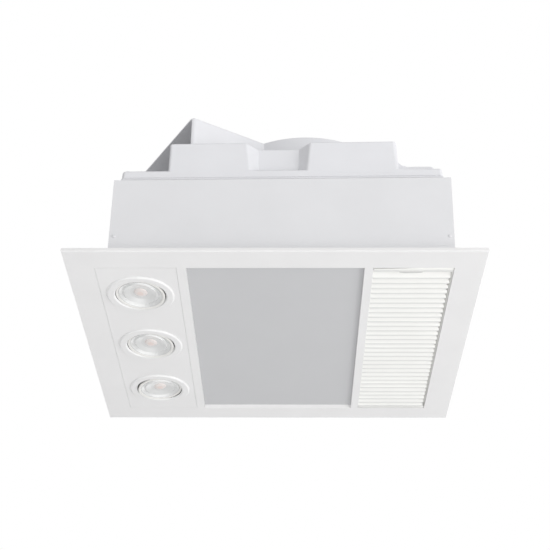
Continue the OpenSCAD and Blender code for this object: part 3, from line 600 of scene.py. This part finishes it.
def make_cover():
    o = None
    # rim on the box, drip groove, lip with a soft top edge
    b = Build()
    rings = []
    for hx, hy, r, z in ((202.4, 188, 3.0, 122.1), (202.4, 188, 3.0, 127.35), (201.0, 186.6, 2.4, 127.4), (201.0, 186.6, 2.4, 127.8), (202.4, 188, 3.0, 127.85), (202.4, 188, 3.0, 129.4),
                         (202.4, 187.8, 3.0, 130.2), (202.4, 187.3, 3.0, 130.8), (202.3, 186.9, 3.2, 131.1), (201.6, 185.6, 3.0, 131.3), (201.6, 185.6, 3.0, 132.0), (202.1, 186.3, 4.4, 132.1)):
        rings.append([(x + 0.45, y, z) for x, y in arc_poly(rect(hx, hy), (r,) * 4, 6)])
    lip = arc_poly(rect(201.7, 186.5), (4.4,) * 4, 6)
    for k in range(6):
        a = math.pi / 2 * k / 5
        rings.append([(x + 0.45, y, 144.0 - 3.6 + 3.6 * math.sin(a)) for x, y in inward(lip, 3.6 * (1 - math.cos(a)))])
    b.loft(rings)
    tilt = lambda x: 0.0093 * x - 0.1
    o = raw(lean(b, 0, tilt))
    back = [(182, -70), (182, 80), (130, 160), (-50, 160), (-120, 100), (-141.6, 40)]
    front_low = [(-143.7, -186.52), (-41.6, -186.52), (-30.2, -172.5), (20.2, -172.5), (31.6, -186.52), (148.0, -186.52), (149.6, -115)]
    front_top = [(-143.3, -186.3), (-45.0, -186.3), (-30.4, -172.5), (22.2, -172.5), (36.2, -186.3), (146.2, -186.3), (147.6, -115)]
    radii = (3.5, 5.0, 1.0, 1.0, 5.5, 5.2, 6, 8, 8, 8, 8, 8, 8)
    block = lean(tower(arc_poly(front_low + back, radii), arc_poly(front_top + back, radii), 138.0, 186.0, 2.6), 160, lambda x: 0.0104 * (x + 142) + 0.0045 * max(0, x))
    combine(o, block, "UNION")
    padr = arc_poly([(130, -178), (193.5, -178), (193.5, -60), (130, -60)], (4, 5, 5, 4))
    combine(o, lean(tower(padr, padr, 140.0, 154.0, 3.4), 0, tilt), "UNION")
    # fillets: right wall of the block to the pad, left splay to the lip's floor
    f = Build()
    arc = [(147.2 + 10 - 10 * math.cos(a), 153.8 + 10 - 10 * math.sin(a)) for a in (math.pi / 2 * k / 8 for k in range(9))]
    prof = [(146.0, 163.8)] + arc + [(157.2, 150.0), (146.0, 150.0)]
    f.loft([[(x, y, z) for x, z in prof] for y in (-177.8, -112.0)])
    combine(o, lean(f, 0, tilt), "UNION")
    f = Build()
    arc = [(-30.2 + 11 - 11 * math.sin(a), 142.3 + 9 - 9 * math.cos(a)) for a in (math.pi / 2 * k / 8 for k in range(9))]
    f.loft([[(-41.0, -183.6, 143.3), (-30.0, -172.0, 143.3), (-19.0, -172.0, 143.3), (-19.0, -182.0, 143.3)],
            [(-41.0, -183.6, 144.2), (-30.0, -172.0, 147.0), (-28.0, -172.0, 145.1), (-34.0, -182.0, 144.0)]])
    combine(o, f, "UNION")
    # hollow underside
    for ring, z0, z1 in ((arc_poly(rect(198.3, 183.6), (4,) * 4), 118.5, 139.4),
                         (inward(front_top + back, 2.5), 139.3, 183.5),
                         (inward([(130, -178), (193.5, -178), (193.5, -60), (130, -60)], 2.5), 139.3, 151.5)):
        combine(o, flat(ring, z0, z1), "DIFFERENCE")
    posts = Build()
    for sx in (-1, 1):
        for sy in (-1, 1):
            posts.loft([[(px, py, z) for px, py in disc(sx * 194.3, sy * 181.3, 5, 32)] for z in (122.0 + 0.0093 * sx * 194.3, 141.0)])
    for a in SCREWS:
        x, y = on_ring(a)
        posts.loft([[(px, py, z) for px, py in disc(x, y, 5, 32)] for z in (140.0, 184.5)])
    combine(o, posts, "UNION")
    wall = [MOUTH_P - 0.4 * DN - 3.1 * DU, MOUTH_P - 0.4 * DN - 0.1 * DU, MOUTH_P + 42 * (MOUTH_M - MOUTH_P).normalized() - 0.1 * DU, MOUTH_P + 39 * (MOUTH_M - MOUTH_P).normalized() - 3.1 * DU]
    combine(o, flat([tuple(q) for q in wall], 140.0, 184.0), "UNION")
    for ring in (disc(DRUM.x, DRUM.y, DRUM_R + 0.4, 180), duct_outline(0.4, 0)):
        combine(o, flat(ring, 118.5, 194.0), "DIFFERENCE")
    holes = Build()
    for sx in (-1, 1):
        for sy in (-1, 1):
            holes.loft([[(px, py, z) for px, py in disc(sx * 194.3, sy * 181.3, r, 32)] for r, z in ((2.1, 118.5), (2.1, 140.9), (3.2, 140.9), (3.2, 147.0))])
    for a in SCREWS:
        x, y = on_ring(a)
        holes.loft([[(px, py, z) for px, py in disc(x, y, 1.6, 24)] for z in (139.0, 160.0)])
    combine(o, holes, "DIFFERENCE")
    settle(o, "cover", "top_cover", "body")


make_scroll()
make_cover()


# ------------------------------------------------------------------ downlights
def lathe(profile, n=120, dark=(), pale=(), twist=0.0):
    """A closed profile of (r, z) points turned about Z. dark and pale hold the profile edges that take the second and third material."""
    b = Build()
    m = len(profile)
    for i, (r, z) in enumerate(profile):
        for k in range(n):
            a = 2 * math.pi * (k + twist * i) / n
            b.v.append((r * math.cos(a), r * math.sin(a), z))
    for i in range(m):
        for k in range(n):
            j, l = (i + 1) % m, (k + 1) % n
            if i in dark or i in pale:
                b.m[len(b.f)] = 1 if i in dark else 2
            b.f.append((i * n + k, i * n + l, j * n + l, j * n + k))
    return b


def turned(b, name, node, body, matrix, main=None, second=None, third=None, smooth=True, cut=None):
    o = raw(b)
    slot = slot_of[node]
    if cut is not None:
        combine(o, cut, "DIFFERENCE")
    o.data.transform(matrix)
    o.name = o.data.name = name
    o.data.materials.clear()
    for one in (main or slot, second, third):
        if one:
            o.data.materials.append(M[one])
    if second:
        for i, k in b.m.items():
            o.data.polygons[i].material_index = k
    if smooth:
        dress(o, 0)
    place(o, body, (node,))
    return o


def make_lamp(i):
    turn = (-50, -50, 90)[i]
    lean = (-4.5, -4.5, -5)[i]
    at = Matrix.Translation(Vector((-174.8, 1.3 + 126.3 * (i - 1), 0)) * MM) @ Matrix.Rotation(math.radians(turn), 4, "Z")
    up = Matrix.Translation((0, 0, 2 * MM))
    tilted = at @ up @ Matrix.Rotation(math.radians(lean), 4, "X") @ up.inverted()
    n = str(i + 1)
    pin = Build()
    pin.loft([[(x, 1.32 * math.cos(2 * math.pi * k / 24), 2 + 1.32 * math.sin(2 * math.pi * k / 24)) for k in range(24)] for x in (-40, 40)])
    # the bore above the trim face (the first four profile edges) is painted black, a painted shade of the deep gap
    # round the bezel
    ring = [(32.1, 11), (32.1, 2.5), (31.95, -0.5), (31.65, -3.0), (31.3, -4.6), (31.45, -5.15), (32.8, -6.5), (33.1, -6.7), (33.5, -6.78), (39.75, -6.78), (40.2, -6.7), (40.5, -6.5), (41.95, -5.1), (42.05, -4.85), (42.05, -4.6),
            (32.9, -4.6), (32.9, 11)]
    # the outer flank and inner chamfer take the brighter white, a painted highlight
    turned(lathe(ring, dark=(0, 1, 2, 3), pale=(5, 11)), "lamp_trim_" + n, "lamp_ring_" + n, "fascia", at, second="black_plastic", third="lamp_painted_highlight")
    bezel = [(27.45, -2.5), (27.45, -5.0), (27.6, -5.25), (28.0, -5.45), (29.5, -5.95), (29.95, -6.02), (30.35, -5.9), (30.62, -5.6), (30.8, -5.2), (30.95, -4.4), (29.4, -3.3), (29.4, 10), (12, 10),
             (12, 8.6), (28.2, 8.6), (28.2, -1.9), (27.45, -1.9)]
    turned(lathe(bezel), "lamp_bezel_" + n, "lamp_gimbal_" + n, "lamp_" + n, tilted, main="lamp_cream", cut=pin)
    # the solid lens shows the light source enlarged, close behind its face
    lens = [(0.05, -3.0), (3.9, -2.9), (6.9, -2.3), (8.4, -0.9), (13.4, -1.6), (20.4, -4.0), (22.6, -2.4), (26.7, -5.1), (27.3, -5.2), (27.3, -1.85), (28.0, -1.85), (28.0, -1.2), (25.0, -1.0),
            (19.4, 2.6), (14.5, 5.0), (8.0, 6.4), (0.05, 6.4)]
    turned(lathe(lens, n=36, dark=(0,), pale=(1, 2), twist=0.5), "lamp_optic_" + n, "lamp_lens_" + n, "lamp_" + n, tilted, second="led_phosphor", third="led_halo", smooth=False)


for one in range(3):
    make_lamp(one)

# ------------------------------------------------------------------ stage and light
def make_stage():
    me = bpy.data.meshes.new("floor")
    s, z = 6.0, -2.3
    me.from_pydata([(-s, -s, z), (s, -s, z), (s, s, z), (-s, s, z)], [], [(0, 1, 2, 3)])
    floor = bpy.data.objects.new("floor", me)
    scene.collection.objects.link(floor)
    floor.data.materials.append(painted("pale_floor", (0.83, 0.83, 0.835), 0.7, spread=0.01, peel=80))


def area(name, loc, size, power, target=(0, 0, 0.06), color=(1, 1, 1)):
    d = bpy.data.lights.new(name, "AREA")
    d.shape = "RECTANGLE"
    d.size, d.size_y = size
    d.energy = power
    d.color = color
    o = bpy.data.objects.new(name, d)
    scene.collection.objects.link(o)
    o.location = loc
    o.rotation_mode = "QUATERNION"
    o.rotation_quaternion = (Vector(target) - Vector(loc)).to_track_quat("-Z", "Y")
    o.visible_camera = False
    return o


def make_world():
    """Even studio surroundings, brighter on the right, in front and behind than on the left and above."""
    w = bpy.data.worlds.new("studio")
    scene.world = w
    w.use_nodes = True
    nt = w.node_tree
    for n in list(nt.nodes):
        nt.nodes.remove(n)
    out = nt.nodes.new("ShaderNodeOutputWorld")
    tc = nt.nodes.new("ShaderNodeTexCoord")
    total = None
    for axis, power in (((1, 0, 0), 0.516), ((0, -1, 0), 0.628), ((0, 1, 0), 0.88)):
        dot = nt.nodes.new("ShaderNodeVectorMath")
        dot.operation = "DOT_PRODUCT"
        dot.inputs[1].default_value = axis
        nt.links.new(tc.outputs["Generated"], dot.inputs[0])
        r = nt.nodes.new("ShaderNodeMapRange")
        r.interpolation_type = "SMOOTHSTEP"
        r.inputs["From Min"].default_value = -0.2
        r.inputs["From Max"].default_value = 1.0
        r.inputs["To Min"].default_value = 0.024
        r.inputs["To Max"].default_value = power + 0.024
        nt.links.new(dot.outputs["Value"], r.inputs["Value"])
        if total is None:
            total = r.outputs["Result"]
        else:
            add = nt.nodes.new("ShaderNodeMath")
            add.operation = "ADD"
            nt.links.new(total, add.inputs[0])
            nt.links.new(r.outputs["Result"], add.inputs[1])
            total = add.outputs[0]
    light = nt.nodes.new("ShaderNodeBackground")
    light.inputs["Color"].default_value = (1, 1, 1, 1)
    nt.links.new(total, light.inputs["Strength"])
    seen = nt.nodes.new("ShaderNodeBackground")
    seen.inputs["Color"].default_value = (1, 1, 1, 1)
    seen.inputs["Strength"].default_value = 1.0
    lp = nt.nodes.new("ShaderNodeLightPath")
    mx = nt.nodes.new("ShaderNodeMixShader")
    nt.links.new(lp.outputs["Is Camera Ray"], mx.inputs[0])
    nt.links.new(light.outputs[0], mx.inputs[1])
    nt.links.new(seen.outputs[0], mx.inputs[2])
    nt.links.new(mx.outputs[0], out.inputs["Surface"])


make_camera()
make_stage()
make_world()
area("key_low_right", (1.8, -1.5, -1.0), (1.2, 1.2), 18.0)
area("under", (0.0, -0.3, -2.1), (2.0, 2.0), 8.1)
area("under_right", (1.6, -0.2, -1.6), (1.2, 1.2), 8.6)
area("fill_left", (-1.2, -1.6, -0.8), (1.2, 1.2), 5.2)
area("high_right", (1.8, -2.0, 1.4), (1.4, 1.4), 11.4)
scene.view_settings.view_transform = "Standard"
scene.view_settings.look = "None"
